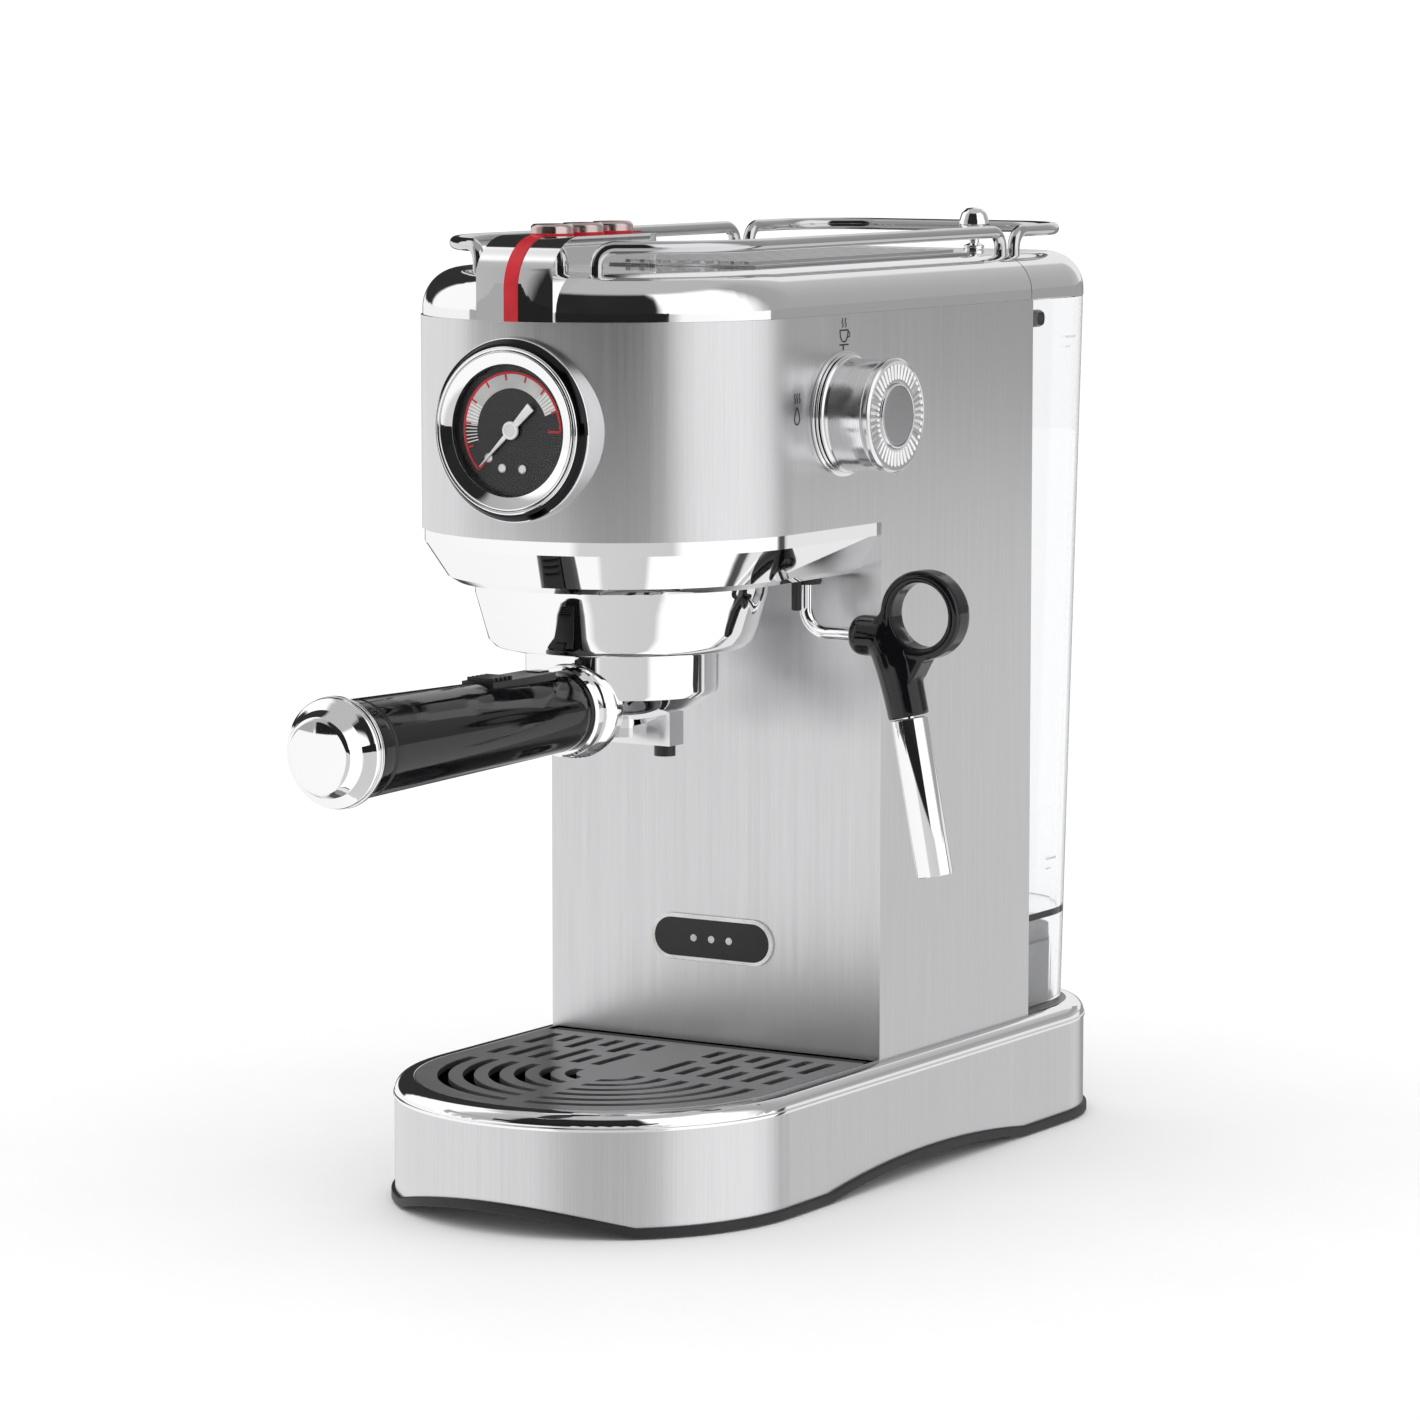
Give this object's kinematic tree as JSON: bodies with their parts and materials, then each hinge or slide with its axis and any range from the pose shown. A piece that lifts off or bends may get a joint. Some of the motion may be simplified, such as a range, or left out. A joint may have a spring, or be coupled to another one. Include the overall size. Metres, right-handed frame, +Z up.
{
  "type": "espresso machine",
  "caption": "Slim pump espresso machine with round head, pressure gauge, side knob, lever-handled filter holder, steam wand, drip tray and rear water tank.",
  "frame": {"origin": "on the worktop, at the centre of the four feet", "axes": "+Z up; the brew group and the filter holder's handle face -Y; the steam wand and the knob are on the +X side; the water tank is at +Y"},
  "size_m": [0.1764, 0.3986, 0.3202],
  "materials": {
    "brushed_steel": "brushed, fine vertical grain",
    "chrome": "polished",
    "dark_chrome": "dark polished",
    "black_rubber": "matte",
    "black_plastic": "fine texture",
    "gloss_black": "glossy",
    "grey_plastic": "satin",
    "clear_plastic": "clear moulded plastic",
    "glass": "clear",
    "cast_alloy": "cast",
    "brass": "machined",
    "red_plastic": "glossy",
    "white_dial": "printed dial",
    "grey_silicone": "satin",
    "zinc_steel": "zinc plated",
    "grate_grey": "satin dark grey",
    "rosy_chrome": "satin, slightly rosy",
    "needle_white": "satin white"
  },
  "bodies": {
    "body": {"base_band": "brushed_steel", "skirt": "black_rubber", "base_rim": "chrome", "base_pan": "black_plastic", "feet": "black_rubber", "pan_screws": "zinc_steel", "inlet_plate": "black_rubber", "left_panel": "brushed_steel", "right_panel": "brushed_steel", "column_panel": "brushed_steel", "rear_wall": "grey_plastic", "head_band": "brushed_steel", "head_trim": "chrome", "chassis": "black_plastic", "top_lid": "chrome", "cup_plate": "brushed_steel", "cup_rails": "chrome", "console": "chrome", "console_stripe": "red_plastic", "gauge_housing": "dark_chrome", "gauge_bezel": "chrome", "gauge_glass": "glass", "gauge_dial": "white_dial", "knob_seat": "chrome", "steam_valve": "brass", "group_cover": "chrome", "group_head": "cast_alloy", "group_gasket": "grey_silicone", "shower_screen": "brushed_steel", "boiler": "cast_alloy", "pump": "black_plastic", "wand_nut": "black_plastic", "drain_nozzle": "black_plastic", "tank_dock": "grey_plastic", "badge_plate": "gloss_black"},
    "tray": {"drip_tray": "black_plastic"},
    "grate": {"drip_grate": "grate_grey"},
    "button_1": {"button_one": "rosy_chrome"},
    "button_2": {"button_two": "rosy_chrome"},
    "button_3": {"button_three": "rosy_chrome"},
    "gauge_needle": {"needle": "needle_white"},
    "control_knob": {"knob_body": "chrome", "knob_shaft": "zinc_steel"},
    "filter_holder": {"filter_bowl": "chrome", "filter_basket": "brushed_steel", "handle_collar": "chrome", "handle_grip": "gloss_black", "handle_cap": "chrome", "handle_rod": "zinc_steel", "spout": "chrome", "spout_tips": "black_plastic"},
    "clip": {"basket_clip": "black_plastic"},
    "steam_wand": {"wand_pipe": "chrome", "wand_grip": "black_plastic"},
    "sleeve": {"frother_sleeve": "chrome"},
    "tank": {"tank_shell": "clear_plastic", "tank_valve": "grey_silicone"},
    "lid": {"tank_lid": "chrome", "lid_knob": "chrome", "rear_rail": "chrome"}
  },
  "joints": [
    {"name": "tray_lift", "type": "slide", "parent": "body", "child": "tray", "axis": [0, 0, 1], "range_m": [0, 0.045]},
    {"name": "grate_lift", "type": "slide", "parent": "tray", "child": "grate", "axis": [0, 0, 1], "range_m": [0, 0.045]},
    {"name": "needle_turn", "type": "hinge", "parent": "body", "child": "gauge_needle", "pos_m": [0.0015, -0.139, 0.2557], "axis": [0, 1, 0], "range_deg": [0, 225], "stiffness_Nm_per_rad": 0.00005, "springref_deg": -17.19},
    {"name": "knob_turn", "type": "hinge", "parent": "body", "child": "control_knob", "pos_m": [0.075, -0.0413, 0.2578], "axis": [1, 0, 0], "range_deg": [-90, 90]},
    {"name": "holder_turn", "type": "hinge", "parent": "body", "child": "filter_holder", "pos_m": [0, -0.0726, 0.175], "axis": [0, 0, 1], "range_deg": [-45, 0]},
    {"name": "clip_flip", "type": "hinge", "parent": "filter_holder", "child": "clip", "pos_m": [0, -0.1226, 0.1763], "axis": [-1, 0, 0], "range_deg": [0, 50]},
    {"name": "wand_swing", "type": "hinge", "parent": "body", "child": "steam_wand", "pos_m": [0.0454, -0.0313, 0.2], "axis": [0, 0, 1], "range_deg": [-60, 12]},
    {"name": "sleeve_pull", "type": "slide", "parent": "steam_wand", "child": "sleeve", "axis": [0.1908, 0, -0.9816], "range_m": [0, 0.015]},
    {"name": "tank_lift", "type": "slide", "parent": "body", "child": "tank", "axis": [0, 0, 1], "range_m": [0, 0.06]},
    {"name": "lid_lift", "type": "slide", "parent": "tank", "child": "lid", "axis": [0, 0, 1], "range_m": [0, 0.04]},
    {"name": "button_1_press", "type": "slide", "parent": "body", "child": "button_1", "axis": [0, 0, -1], "range_m": [0, 0.0015], "stiffness_N_per_m": 400, "springref_m": -0.001},
    {"name": "button_2_press", "type": "slide", "parent": "body", "child": "button_2", "axis": [0, 0, -1], "range_m": [0, 0.0015], "stiffness_N_per_m": 400, "springref_m": -0.001},
    {"name": "button_3_press", "type": "slide", "parent": "body", "child": "button_3", "axis": [0, 0, -1], "range_m": [0, 0.0015], "stiffness_N_per_m": 400, "springref_m": -0.001}
  ]
}
